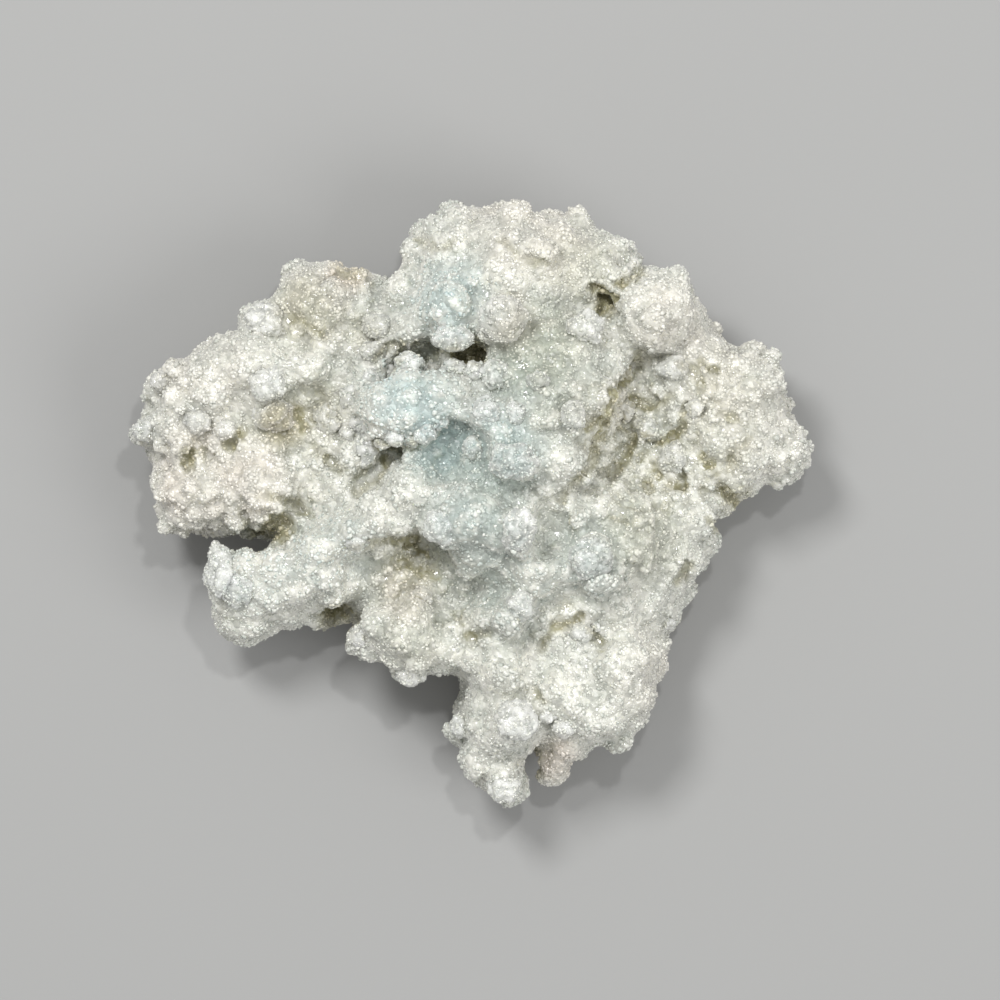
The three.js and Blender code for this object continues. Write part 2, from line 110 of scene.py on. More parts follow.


# the mineral's surface tone, with its painted highlights and painted shade, shared by the crust, the knobs
# and the crystals

def newGroup(name, inputs, outputs):
    group = bpy.data.node_groups.new(name, "ShaderNodeTree")
    for label, kind, value in inputs:
        socket = group.interface.new_socket(label, in_out="INPUT", socket_type=kind)
        socket.default_value = value
    for label, kind in outputs:
        group.interface.new_socket(label, in_out="OUTPUT", socket_type=kind)
    return group


def mixColor(nodes, links, share, first, second):
    mix = nodes.new("ShaderNodeMix")
    mix.data_type = "RGBA"
    links.new(share, mix.inputs["Factor"])
    links.new(first, mix.inputs["A"])
    links.new(second, mix.inputs["B"])
    return mix.outputs["Result"]


def toneGroup():
    group = newGroup(
        "mineralTone",
        [
            ("Body", "NodeSocketColor", (0.8, 0.8, 0.76, 1)),
            ("Aqua", "NodeSocketColor", (0.6, 0.75, 0.76, 1)),
            ("Stain And Shade", "NodeSocketColor", (0.3, 0.26, 0.18, 1)),
            ("Warm", "NodeSocketColor", (0.8, 0.7, 0.6, 1)),
            ("Frost And Highlight", "NodeSocketColor", (0.95, 0.95, 0.93, 1)),
            ("Grain Scale", "NodeSocketFloat", 1200.0),
            ("Grain Amount", "NodeSocketFloat", 0.2),
        ],
        [("Color", "NodeSocketColor"), ("Roughness", "NodeSocketFloat"), ("Height", "NodeSocketFloat")],
    )
    nodes, links = group.nodes, group.links
    given = nodes.new("NodeGroupInput")
    result = nodes.new("NodeGroupOutput")
    tone = nodes.new("ShaderNodeAttribute")
    tone.attribute_name = "tone"
    masks = nodes.new("ShaderNodeSeparateColor")
    links.new(tone.outputs["Color"], masks.inputs["Color"])
    place = nodes.new("ShaderNodeTexCoord")

    clouds = nodes.new("ShaderNodeTexNoise")  # slow drift of the body colour
    clouds.inputs["Scale"].default_value = mineralLook["cloudScale"]
    clouds.inputs["Detail"].default_value = mineralLook["cloudDetail"]
    links.new(place.outputs["Object"], clouds.inputs["Vector"])
    grain = nodes.new("ShaderNodeTexVoronoi")  # one cell for each tiny crystal
    links.new(place.outputs["Object"], grain.inputs["Vector"])
    links.new(given.outputs["Grain Scale"], grain.inputs["Scale"])

    color = mixColor(nodes, links, masks.outputs["Red"], given.outputs["Body"], given.outputs["Aqua"])
    # frost, with the painted highlights on rims and the painted shade in hollows, from the tone's alpha
    frostAndHighlightShare = nodes.new("ShaderNodeMath")
    frostAndHighlightShare.operation = "MULTIPLY"
    links.new(tone.outputs["Alpha"], frostAndHighlightShare.inputs[0])
    spread = nodes.new("ShaderNodeMapRange")
    spread.inputs["From Min"].default_value = mineralLook["cloudFrom"][0]
    spread.inputs["From Max"].default_value = mineralLook["cloudFrom"][1]
    spread.inputs["To Min"].default_value = mineralLook["leastFrost"]
    links.new(clouds.outputs["Fac"], spread.inputs["Value"])
    links.new(spread.outputs["Result"], frostAndHighlightShare.inputs[1])
    color = mixColor(nodes, links, frostAndHighlightShare.outputs["Value"], color, given.outputs["Frost And Highlight"])
    color = mixColor(nodes, links, masks.outputs["Blue"], color, given.outputs["Warm"])
    # stain, and painted shade in hollows, from the tone's green
    color = mixColor(nodes, links, masks.outputs["Green"], color, given.outputs["Stain And Shade"])

    speckle = nodes.new("ShaderNodeSeparateColor")
    links.new(grain.outputs["Color"], speckle.inputs["Color"])
    shade = nodes.new("ShaderNodeMath")  # 1 - amount * random
    shade.operation = "MULTIPLY"
    links.new(speckle.outputs["Red"], shade.inputs[0])
    links.new(given.outputs["Grain Amount"], shade.inputs[1])
    bright = nodes.new("ShaderNodeMath")
    bright.operation = "SUBTRACT"
    bright.inputs[0].default_value = 1
    links.new(shade.outputs["Value"], bright.inputs[1])
    scaled = nodes.new("ShaderNodeVectorMath")
    scaled.operation = "SCALE"
    links.new(color, scaled.inputs["Vector"])
    links.new(bright.outputs["Value"], scaled.inputs["Scale"])
    links.new(scaled.outputs["Vector"], result.inputs["Color"])

    rough = nodes.new("ShaderNodeMapRange")
    rough.inputs["To Min"].default_value = mineralLook["roughness"][0]
    rough.inputs["To Max"].default_value = mineralLook["roughness"][1]
    links.new(speckle.outputs["Green"], rough.inputs["Value"])
    links.new(rough.outputs["Result"], result.inputs["Roughness"])
    links.new(grain.outputs["Distance"], result.inputs["Height"])
    return group


def mineralMaterial(name, kind, shared):
    look = mineralLook[kind]
    material = bpy.data.materials.new(name)
    material.use_nodes = True
    nodes, links = material.node_tree.nodes, material.node_tree.links
    shader = nodes["Principled BSDF"]
    tone = nodes.new("ShaderNodeGroup")
    tone.node_tree = shared
    for label, value in mineralLook[kind + "Tones"].items():
        tone.inputs[label].default_value = value
    links.new(tone.outputs["Color"], shader.inputs["Base Color"])
    links.new(tone.outputs["Roughness"], shader.inputs["Roughness"])
    bump = nodes.new("ShaderNodeBump")
    bump.inputs["Strength"].default_value = look["bumpStrength"]
    bump.inputs["Distance"].default_value = look["bumpMm"] * mm
    bump.invert = True
    links.new(tone.outputs["Height"], bump.inputs["Height"])
    links.new(bump.outputs["Normal"], shader.inputs["Normal"])
    for label, value in look["sockets"].items():
        shader.inputs[label].default_value = value
    return material


mineralLook = {
    "cloudScale": 160,           # cells in a metre
    "cloudDetail": 3,
    "cloudFrom": (0.3, 0.7),     # noise over which the frost goes from its least to full
    "leastFrost": 0.55,
    "roughness": (0.06, 0.5),    # of the glossiest and the dullest tiny crystal
    "crustTones": {
        "Body": (0.43, 0.46, 0.41, 1),
        "Aqua": (0.36, 0.51, 0.52, 1),
        "Stain And Shade": (0.35, 0.33, 0.2, 1),
        "Warm": (0.7, 0.62, 0.53, 1),
        "Frost And Highlight": (0.87, 0.855, 0.77, 1),
        "Grain Scale": 1500,
        "Grain Amount": 0.35,
    },
    "crust": {
        "bumpStrength": 0.8,
        "bumpMm": 0.22,
        "sockets": {
            "Subsurface Weight": 0.6,
            "Subsurface Radius": (1.0, 1.0, 0.9),
            "Subsurface Scale": 0.0035,
            "IOR": 1.6,
            "Sheen Weight": 0.3,
            "Sheen Roughness": 0.35,
        },
    },
    "knobTones": {
        "Body": (0.52, 0.55, 0.51, 1),
        "Aqua": (0.45, 0.6, 0.61, 1),
        "Stain And Shade": (0.42, 0.385, 0.25, 1),
        "Warm": (0.64, 0.57, 0.46, 1),
        "Frost And Highlight": (0.9, 0.9, 0.85, 1),
        "Grain Scale": 1500,
        "Grain Amount": 0.35,
    },
    "knob": {
        "bumpStrength": 0.8,
        "bumpMm": 0.22,
        "sockets": {
            "Subsurface Weight": 0.6,
            "Subsurface Radius": (1.0, 1.0, 0.95),
            "Subsurface Scale": 0.002,
            "Transmission Weight": 0.15,
            "IOR": 1.6,
            "Sheen Weight": 0.2,
            "Sheen Roughness": 0.3,
        },
    },
    "crystalTones": {
        "Body": (0.48, 0.51, 0.46, 1),
        "Aqua": (0.46, 0.62, 0.63, 1),
        "Stain And Shade": (0.56, 0.52, 0.36, 1),
        "Warm": (0.86, 0.77, 0.68, 1),
        "Frost And Highlight": (0.97, 0.955, 0.875, 1),
        "Grain Scale": 900,
        "Grain Amount": 0.15,
    },
    "crystal": {
        "bumpStrength": 0.1,
        "bumpMm": 0.05,
        "sockets": {"Transmission Weight": 0.12, "IOR": 1.6, "Sheen Weight": 0.25, "Sheen Roughness": 0.3},
    },
}

sharedTone = toneGroup()
crustMaterial = mineralMaterial("sugaryCrust", "crust", sharedTone)
knobMaterial = mineralMaterial("clearKnobs", "knob", sharedTone)
crystalMaterial = mineralMaterial("clearGrains", "crystal", sharedTone)
report("materials made")


# the crust: the CAD form softened, with rounded lumps grown into it
crust = {
    "closeMm": 1.1,              # gaps up to twice this wide are closed
    "deep": [                    # x, y and radius of pits that are filled further
        (-8, -6, 7), (13, -14, 6), (-20, 3, 5), (-3, 8, 5, 0.4), (10, -3, 5),
    ],
    "deepMm": 1.3,
    "open": [                    # and where crevices and notches stay open
        (23, 8, 9), (28, -1, 6), (19, 29, 4), (-33, -4, 6), (-19, -16, 4), (8.5, -38, 5),
        (-3, 21, 5, 0.3), (-14, 19, 4), (-16, 6, 3),
    ],
    "openShare": 0.8,            # how much less is closed there
    "insetMm": 0.4,              # then the surface is drawn in, to leave room for lumps and grains
    "insetFrom": (3, 9),         # heights over which the drawing in sets in, mm
    "softVoxelMm": 0.6,
    "softPasses": 3,
    "voxelMm": 0.52,
    "edgePasses": 1,
    "ripples": [(2.4, 0.14), (1.2, 0.13)],  # cell across and height of the fine swellings, mm
    "rippleReach": 0.72,         # distance over cell size at which a swelling ends
    "rippleRest": 0.6,           # share of their height by which the surface is lowered again
    "rippleWarp": 0.5,           # how far cells are pulled out of round, as a share of their size
    "warpWaves": 1.7,
    "seatFade": (0.3, 1.6),      # ripples fade in between these heights, mm
    "seatReachMm": 6,            # height up to which the lowest part is moved back to the seat
}

lumps = {
    "seed": 3,
    "tries": 7000,
    "radiusMm": (1.0, 3.1),
    "popcornMm": (0.7, 1.9),
    "sizes": (1.1, 2.6),         # beta spread between smallest and largest, with more small ones
    "shuffleMm": 0.5,            # how loosely the bigger ones come first
    "popcorn": [                 # x, y and radius of patches with small close lumps, mm
        (36, 14, 9), (43, 8, 5), (23, 8, 7), (28, 4, 6), (-38, 2, 8), (-30, 0, 6), (24, -6, 6), (20, 31, 5),
        (-41, 14, 5), (-14, 31, 3), (29, 14, 6), (-24, 2, 5), (14, -15, 4), (-9, -10, 5), (-22, 24, 4),
    ],
    "bare": [(27.5, -23, 2.5), (8.5, -38.5, 2.5)],  # and of places without any
    "bareFrom": 0.3,             # strength of such a place from which it has none
    "apart": 0.8,                # distance between two lumps over the sum of their radii
    "lift": -0.15,               # how far a lump's centre stands out, as a share of its radius
    "popcornLift": 0.3,
    "flat": (0.4, 0.62),         # thickness over width of a big lump
    "popcornFlat": (0.7, 1.0),
    "oval": (0.7, 1),            # width over length
    "waviness": 0.2,
    "waves": 1.6,
    "heights": (2.5, 4.5),       # they set in over these heights, mm, and these slopes
    "facing": (-0.7, 0.2),
}

# the crevices seen in the photograph, as lines from point to point with how strong each one is; mm
cracks = {
    "halfMm": 0.6,               # half the width of a crevice
    "deepMm": 1.15,
    "lipMm": 0.15,               # how far its lips stand up
    "floor": (0.2, 1.9),         # half widths over which its floor rises to the surface
    "lipRise": (1.1, 2),         # and over which the lip rises and falls
    "lipFall": (2, 4),
    "wander": 0.7,               # how far a crevice strays from its line, mm
    "wanderMm": 1.3,             # and over what length
    "facing": (-0.1, 0.3),       # slopes and heights over which crevices set in
    "heights": (2, 5),
    "lines": [
        (0.75, [(23.2, 20.8), (22.3, 18.2), (19.6, 15.4), (18.4, 11.3), (15.9, 10.4)]),
        (0.55, [(18.4, 11.3), (16.9, 7.9), (16.5, 5.1), (14.1, 2.8), (12.3, 0.4)]),
        (0.4, [(22.3, 9.0), (21.6, 5.8), (19.6, 3.6)]),
        (0.45, [(29.7, 13.6), (29.2, 10.4), (27.4, 8.6), (24.0, 9.4)]),
        (0.45, [(25.2, 5.4), (26.4, 3.6), (28.9, 2.0)]),
        (0.45, [(22.6, 14.6), (25.4, 13.4), (27.4, 14.6)]),
        (1.0, [(16.9, 29.8), (19.4, 28.3), (17.9, 26.6)]),
        (0.7, [(20.6, 30.2), (23.4, 32.0)]),
        (0.5, [(31.6, 19.6), (33.4, 18.2)]),
        (0.5, [(34.8, 12.6), (36.4, 11.6)]),
        (0.4, [(31.8, 16.0), (30.6, 18.4), (28.4, 19.4)]),
        (0.4, [(38.4, 8.6), (36.2, 7.2), (35.8, 4.8)]),
        (0.4, [(32.2, 6.6), (33.6, 4.4)]),
        (0.6, [(34.4, 2.4), (37.0, -0.2)]),
        (0.6, [(33.0, -2.4), (34.4, -3.6)]),
        (0.6, [(-13.4, 20.2), (-11.4, 21.8), (-8.2, 21.9)]),
        (0.4, [(-4.2, 21.2), (-1.3, 20.6), (0.6, 19.4)]),
        (0.6, [(-13.2, 8.2), (-9.7, 7.6), (-7.6, 8.2)]),
        (0.6, [(-16.0, 1.6), (-13.0, 3.2), (-11.6, 6.2)]),
        (0.6, [(-16.2, -6.3), (-13.0, -5.4), (-10.2, -5.2), (-7.8, -5.0)]),
        (0.6, [(9.5, -20.3), (11.3, -17.2), (15.1, -15.9)]),
        (0.6, [(16.6, -17.4), (17.9, -19.8)]),
        (0.6, [(8.6, -26.2), (9.8, -27.4)]),
        (0.6, [(30.3, -8.6), (28.8, -11.0)]),
        (0.4, [(-0.4, -18.2), (2.2, -18.0)]),
        (0.5, [(-23.9, 12.4), (-23.5, 10.6)]),
        (0.45, [(-31.4, 10.0), (-32.5, 8.8), (-34.2, 7.9)]),
        (0.45, [(-39.6, 7.4), (-39.5, 5.2)]),
        (0.4, [(-24.8, 25.9), (-22.7, 24.7), (-20.7, 23.2)]),
        (0.45, [(-9.5, 21.4), (-11.1, 18.4)]),
        (0.5, [(-22.0, 7.4), (-20.0, 6.0), (-18.1, 4.2)]),
        (0.5, [(-29.0, 1.4), (-25.2, 0.2), (-22.6, -1.6)]),
        (0.4, [(4.2, 36.4), (6.4, 33.8), (9.6, 33.2)]),
        (0.4, [(-7.6, 36.6), (-4.6, 35.2), (-2.2, 36.0)]),
    ],
}


def crackRamp(apart, ends):
    # rises between two distances, which are given in half widths of a crevice
    return ramp(apart, ends[0] * cracks["halfMm"], ends[1] * cracks["halfMm"])


def cracksAt(points):
    # how deep in a crevice each point lies, 0 to 1, and how close to the lip of one
    stray = cracks["wander"] * noiseAt(points, cracks["wanderMm"])
    depth, lip = np.zeros(len(points)), np.zeros(len(points))
    for strength, line in cracks["lines"]:
        for start, end in zip(line, line[1:]):
            start, along = np.array(start), np.array(end) - np.array(start)
            share = np.clip((points[:, :2] - start) @ along / (along @ along), 0, 1)
            apart = np.linalg.norm(points[:, :2] - start - share[:, None] * along, axis=1) + stray
            depth = np.maximum(depth, strength * (1 - crackRamp(apart, cracks["floor"])))
            near = crackRamp(apart, cracks["lipRise"])
            lip = np.maximum(lip, strength * near * (1 - crackRamp(apart, cracks["lipFall"])))
    return depth, lip


def rippleHeights(points, cells):
    # rounded swellings with creases between them, in mm for points in mm
    heights = np.zeros(len(points))
    for across, high in cells:
        for i, point in enumerate(points):
            place = Vector(point / across)
            warp = noise.noise_vector(place * crust["warpWaves"]) * crust["rippleWarp"]
            distances, _ = noise.voronoi(place + warp)
            part = min(distances[0] / crust["rippleReach"], 1)
            heights[i] += high * math.sqrt(1 - part * part)
    return heights


def evenMesh(mesh, voxelMm, passes, name):
    # voxel remesh and smoothing, as triangles
    rough = bpy.data.objects.new(name, mesh)
    bpy.context.scene.collection.objects.link(rough)
    even = rough.modifiers.new("even", "REMESH")
    even.mode = "VOXEL"
    even.voxel_size = voxelMm * mm
    soft = rough.modifiers.new("soft", "SMOOTH")
    soft.iterations = passes
    rough.modifiers.new("triangles", "TRIANGULATE").quad_method = "SHORTEST_DIAGONAL"
    ready = rough.evaluated_get(bpy.context.evaluated_depsgraph_get())
    made = bpy.data.meshes.new_from_object(ready)
    bpy.data.objects.remove(rough)
    return made


def placesOn(points, normals, corners, count, weight, draws):
    # random places over a triangle mesh, more of them where weight is high
    a, b, c = (points[corners[:, k]] for k in range(3))
    cross = np.cross(b - a, c - a)
    area = np.linalg.norm(cross, axis=1) / 2
    facing = cross[:, 2] / np.maximum(2 * area, 1e-9)
    wanted = area * weight((a + b + c) / 3, facing)
    count = int(wanted.sum()) if count is None else count
    face = draws.choice(len(wanted), count, p=wanted / wanted.sum())
    u, v = draws.random(count), draws.random(count)
    flip = u + v > 1
    u[flip], v[flip] = 1 - u[flip], 1 - v[flip]
    share = np.stack([1 - u - v, u, v], 1)[:, :, None]
    near = corners[face]
    place = (points[near] * share).sum(1)
    out = (normals[near] * share).sum(1)
    out /= np.linalg.norm(out, axis=1, keepdims=True)
    return place, out, near, share


def patches(points, spots):
    # soft round patches seen from above: x, y, radius and a strength, mm
    mask = np.zeros(len(points))
    for x, y, radius, *strength in spots:
        apart = np.hypot(points[:, 0] - x, points[:, 1] - y)
        full = strength[0] if strength else 1
        fade = ramp(apart, patchEdge[0] * radius, patchEdge[1] * radius)
        mask = np.maximum(mask, full * (1 - fade))
    return mask


def framesFor(axes, draws):
    # a turned frame for each axis, as 3 by 3 matrices with the axis last
    spin = draws.normal(size=axes.shape)
    x = np.cross(spin, axes)
    x /= np.linalg.norm(x, axis=1, keepdims=True)
    return np.stack([x, np.cross(axes, x), axes], 2)


def ballShape(splits):
    ball = bmesh.new()
    bmesh.ops.create_icosphere(ball, subdivisions=splits, radius=1)
    points = np.array([v.co for v in ball.verts])
    triangles = np.array([[v.index for v in f.verts] for f in ball.faces])
    ball.free()
    return points, triangles


def growLumps(points, normals, corners):
    def weight(middle, facing):
        return ramp(facing, *lumps["facing"]) * ramp(middle[:, 2], *lumps["heights"])

    draws = np.random.default_rng(lumps["seed"])
    place, out, _, _ = placesOn(points, normals, corners, lumps["tries"], weight, draws)
    free = patches(place, lumps["bare"]) < lumps["bareFrom"]
    place, out = place[free], out[free]
    popcorn = patches(place, lumps["popcorn"])
    small, big = np.array(lumps["popcornMm"]), np.array(lumps["radiusMm"])
    isSmall = draws.random(len(place)) < popcorn
    span = np.where(isSmall[:, None], small, big)
    radius = span[:, 0] + (span[:, 1] - span[:, 0]) * draws.beta(*lumps["sizes"], len(place))
    kept = []
    for i in np.argsort(-radius + draws.normal(0, lumps["shuffleMm"], len(place))):
        if kept:
            apart = np.linalg.norm(place[kept] - place[i], axis=1)
            if (apart < lumps["apart"] * (radius[kept] + radius[i])).any():
                continue
        kept.append(i)
    ball, faces = ballShape(3)
    made, triangles = [], []
    frames = framesFor(out[kept], draws)
    for n, (i, turn) in enumerate(zip(kept, frames)):
        shift = draws.uniform(-50, 50, 3)
        swell = np.array([noise.noise(Vector(p * lumps["waves"] + shift)) for p in ball])
        flat = draws.uniform(*lumps["popcornFlat" if isSmall[i] else "flat"])
        lift = lumps["popcornLift" if isSmall[i] else "lift"]
        local = ball * (1 + lumps["waviness"] * swell)[:, None] * radius[i]
        local = local * [1, draws.uniform(*lumps["oval"]), flat]
        made.append(local @ turn.T + place[i] + out[i] * lift * radius[i])
        triangles.append(faces + n * len(ball))
    return np.concatenate(made), np.concatenate(triangles), len(kept)


def shifted(mesh, amount):
    # the mesh with its surface moved out by amount(points), in where that is below zero; mm
    points = pointsOf(mesh) / mm
    points += normalsOf(mesh) * amount(points)[:, None]
    mesh.vertices.foreach_set("co", (points * mm).astype(np.float32).ravel())
    mesh.update()
    return mesh


def closing(points):
    shut = crust["closeMm"] + crust["deepMm"] * patches(points, crust["deep"])
    return shut * (1 - crust["openShare"] * patches(points, crust["open"]))


def drawingIn(points):
    return -closing(points) - crust["insetMm"] * ramp(points[:, 2], *crust["insetFrom"])


def growCrust(node):
    base = evenMesh(node.data.copy(), crust["softVoxelMm"], 0, "base")
    base = evenMesh(shifted(base, closing), crust["softVoxelMm"], 0, "base")
    base = evenMesh(shifted(base, drawingIn), crust["softVoxelMm"], crust["softPasses"], "base")
    points, normals, corners = pointsOf(base) / mm, normalsOf(base), cornersOf(base)
    lumpPoints, lumpFaces, count = growLumps(points, normals, corners)
    report(f"{count} lumps on a base of {len(corners)} triangles")
    triangles = np.concatenate([corners, lumpFaces + len(points)])
    together = meshFromArrays("together", np.concatenate([points, lumpPoints]) * mm, triangles)
    mesh = evenMesh(together, crust["voxelMm"], crust["edgePasses"], "together")
    points, normals = pointsOf(mesh) / mm, normalsOf(mesh)
    grown = rippleHeights(points, crust["ripples"])
    grown -= crust["rippleRest"] * sum(high for _, high in crust["ripples"])
    points += normals * (grown * ramp(points[:, 2], *crust["seatFade"]))[:, None]
    depth, lip = cracksAt(points)
    onTop = ramp(normals[:, 2], *cracks["facing"]) * ramp(points[:, 2], *cracks["heights"])
    points += normals * ((cracks["lipMm"] * lip - cracks["deepMm"] * depth) * onTop)[:, None]
    gap = points[:, 2].min()  # the lowest part goes back down to the seat
    lowered = gap * (1 - ramp(points[:, 2], gap, gap + crust["seatReachMm"]))
    points[:, 2] = np.maximum(points[:, 2] - lowered, 0)
    mesh.vertices.foreach_set("co", (points * mm).astype(np.float32).ravel())
    mesh.update()
    report(f"seat lowered by {gap:.2f} mm")
    return mesh


crustMesh = growCrust(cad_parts["aragonite_cluster"])
report(f"crust grown, {len(crustMesh.polygons)} triangles")


# tones: painted shade in crevices from how open the surface is to the sky, painted highlights on rims,
# tints by place
tones = {
    "raySeed": 11,
    "rays": 14,
    "rayStartMm": 0.2,
    "rayReachMm": 8,
    "creaseReachMm": 1.6,        # rays stopped nearer than this show a crease
    "creviceShut": (0.6, 1.0),   # share of shut rays where the painted shade in crevices starts and is full
    "rimBulgeMm": (0.03, 0.2),   # how far a rim stands proud before it gets a painted highlight
    "backStain": 0.75,           # the broken back is stained, fading out between these heights
    "backMm": (2.0, 8.0),
    # x and y from the middle of the specimen, radius and strength; mm
    "aqua": [
        (-9, 13.5, 7, 0.85), (-3, 28, 6, 0.8), (3, 8, 7, 0.6), (0, 0, 7, 0.35), (-4, 8, 6, 0.6),
        (5, 17, 6, 0.35), (7, 22, 6, 0.25), (-30, -9, 6, 0.4), (-20, -6, 6, 0.4), (16, -8, 6, 0.25),
        (12, 14, 6, 0.2), (5, -10, 7, 0.25),
    ],
    "clear": [
        (9, 20, 8, 1.0), (3, 6, 8, 0.9), (0, -4, 8, 0.85), (-4, 8, 6, 1.0), (-9, 13, 5, 0.6),
        (-3, 28, 5, 0.6), (17, -7, 7, 0.7), (24, -5, 6, 0.6), (-26, 11, 4, 0.8), (16, 16, 6, 0.8),
        (-9, -10, 6, 0.6), (4, -16, 5, 0.6), (-9, -18, 5, 0.4), (22, 8, 6, 0.5), (-23, 26, 5, 0.4),
    ],
    "warm": [
        (-38, 3, 8, 0.5), (-31, 3, 6, 0.5), (8, 39, 8, 0.35), (34, 23, 8, 0.3), (11.5, -36, 3.5, 0.7),
        (-17.5, 32, 3, 0.9), (-22, 28, 5, 0.4), (27, 25, 6, 0.3), (40, 12, 8, 0.2), (-38, 18, 8, 0.25),
        (-26, 11, 3, 0.8), (27, -25, 6, 0.3), (5, 25, 4, 0.4), (-9, -12, 4, 0.5), (18, 14, 4, 0.3),
    ],
    "stainAndShade": [
        (20, 14, 4, 0.6), (18, 10, 4, 0.6), (22, 7, 5, 0.4), (29, 9, 4, 0.5), (26, 3, 5, 0.45),
        (31, 5, 4, 0.5), (19, 29, 2.5, 0.9), (-1, 21, 2.5, 0.5), (-39, 7, 2, 0.6), (-33, 9, 2, 0.5),
        (36.5, 0.5, 2.5, 0.7),
        (-22, 13, 4, 0.4), (-8, -8, 4, 0.5), (-1, -18, 3, 0.4), (13, -16, 3, 0.5), (-19, -16, 3, 0.9),
        (-27, -3, 3, 0.6), (-17, 33, 2, 0.5), (22, 0, 4, 0.5), (-34, -14, 3, 0.4), (34, 19, 3, 0.3),
    ],
    "shadeAndStainAllOver": [                    # the same for places darkened and tinted all over, partly by stain and partly by painted shade in hollows
        (-26.5, 11, 3.5, 0.75), (-17.2, 32.5, 2.5, 0.5), (9, 21, 7, 0.35), (24, -5, 6, 0.25),
        (-23, 27, 5, 0.4), (22, 8, 7, 0.15), (-15, 24, 3, 0.3), (-9, -10, 5, 0.25), (12, 14, 5, 0.2),
        (-21, 13, 5, 0.25), (3, 5, 5, 0.1), (37, 0.5, 2.4, 0.4), (15, 33, 5, 0.25), (34, 14, 6, 0.15),
        (-9, -19, 5, 0.2), (36, 6, 3, 0.2), (-19, -17, 2.5, 0.6), (-27, -3.5, 2, 0.7),
    ],
}

# how much each cause adds to a tone; a pair is where a cause sets in and where it is full
mixing = {
    "driftMm": 4.0,              # size of the slow drift in every tone
    "mottleMm": (1.3, 0.6),      # sizes of the mottle, coarse and fine
    "fineShare": 0.5,
    "veinMm": 2.3,               # size of the thin veins of dirt in stained places
    "veinShift": (7, 0, 3),
    "aquaDrift": (0.85, 0.3),    # tint without drift, and what drift adds or takes
    "aquaHeights": (6, 16),
    "warmDrift": (0.8, 0.5),
    "shutShadeAndStain": (0.6, 0.5),      # painted shade in shut places, and what a stain adds there
    "stainShut": (0.15, 0.8),
    "shutShare": 0.5,            # what shut sky counts for there, against creases
    "veinDirt": 0.5,
    "veinFrom": (0.86, 0.99),
    "pitDirt": 0.4,
    "pitMm": (0, 0.09),
    # stain and painted shade on the floors of crevices
    "crackStainAndShade": 0.95,
    "backDrift": 3,              # how far the edge of the back's stain strays, mm
    "backFacing": (-0.5, 0.3),
    # painted shade, mottled, in shut places and creases
    "mottledShade": 0.35,
    "mottleFrom": (0.25, 0.8),
    "mottleShut": (0.1, 0.6),
    "shutFrostShade": 0.75,            # painted shade: frost lost in shut places and in creases
    "shutFrom": (0.35, 1.0),
    "creaseFrostShade": 0.35,
    "creaseFrom": (0.1, 0.5),
    "slopeHighlight": 0.55,          # painted highlight on the steep sides of lumps
    "slopeFrom": (0.3, 0.8),
    "slopeFacing": (-0.3, 0.1),
    # painted highlight on rims that stand proud, and on the lips of crevices
    "bulgeHighlight": 0.6,
    "lipHighlight": 0.4,
    "frostDrift": (0.8, 0.5),
    "clearBody": 0.95,           # frost that a clear place lacks on its body, and painted highlight that it lacks on its edges
    "clearEdges": 0.45,
    "mottleFrost": 0.7,
    "clearMottle": 0.6,
}


def shutShares(tree, points, normals):
    # share of the sky over each point that lumps shut off, and the share shut off close by
    draws = np.random.default_rng(tones["raySeed"])
    around = draws.uniform(0, 2 * math.pi, tones["rays"])
    lift = np.sqrt((np.arange(tones["rays"]) + 0.5) / tones["rays"])
    rays = np.stack([np.sqrt(1 - lift**2) * np.cos(around), np.sqrt(1 - lift**2) * np.sin(around), lift], 1)
    shut, crease = np.zeros(len(points)), np.zeros(len(points))
    side = np.where(np.abs(normals[:, 2:3]) < 0.9, [[0.0, 0.0, 1.0]], [[1.0, 0.0, 0.0]])
    first = np.cross(normals, side)
    first /= np.maximum(np.linalg.norm(first, axis=1, keepdims=True), 1e-9)
    second = np.cross(normals, first)
    starts = points + normals * tones["rayStartMm"]
    for ray in rays:
        ways = first * ray[0] + second * ray[1] + normals * ray[2]
        for i in range(len(points)):
            far = tree.ray_cast(Vector(starts[i]), Vector(ways[i]), tones["rayReachMm"])[3]
            if far is not None:
                shut[i] += 1
                crease[i] += far < tones["creaseReachMm"]
    return shut / tones["rays"], crease / tones["rays"]


def bulgeOf(mesh, points, normals, passes=4):
    # how far each point stands proud of its neighbours, mm
    edges = np.zeros(len(mesh.edges) * 2, np.int32)
    mesh.edges.foreach_get("vertices", edges)
    edges = edges.reshape(-1, 2)
    mean = points.copy()
    for _ in range(passes):
        total = np.zeros_like(mean)
        count = np.zeros(len(mean))
        for a, b in ((0, 1), (1, 0)):
            np.add.at(total, edges[:, a], mean[edges[:, b]])
            np.add.at(count, edges[:, a], 1)
        mean = total / np.maximum(count, 1)[:, None]
    return ((points - mean) * normals).sum(1)


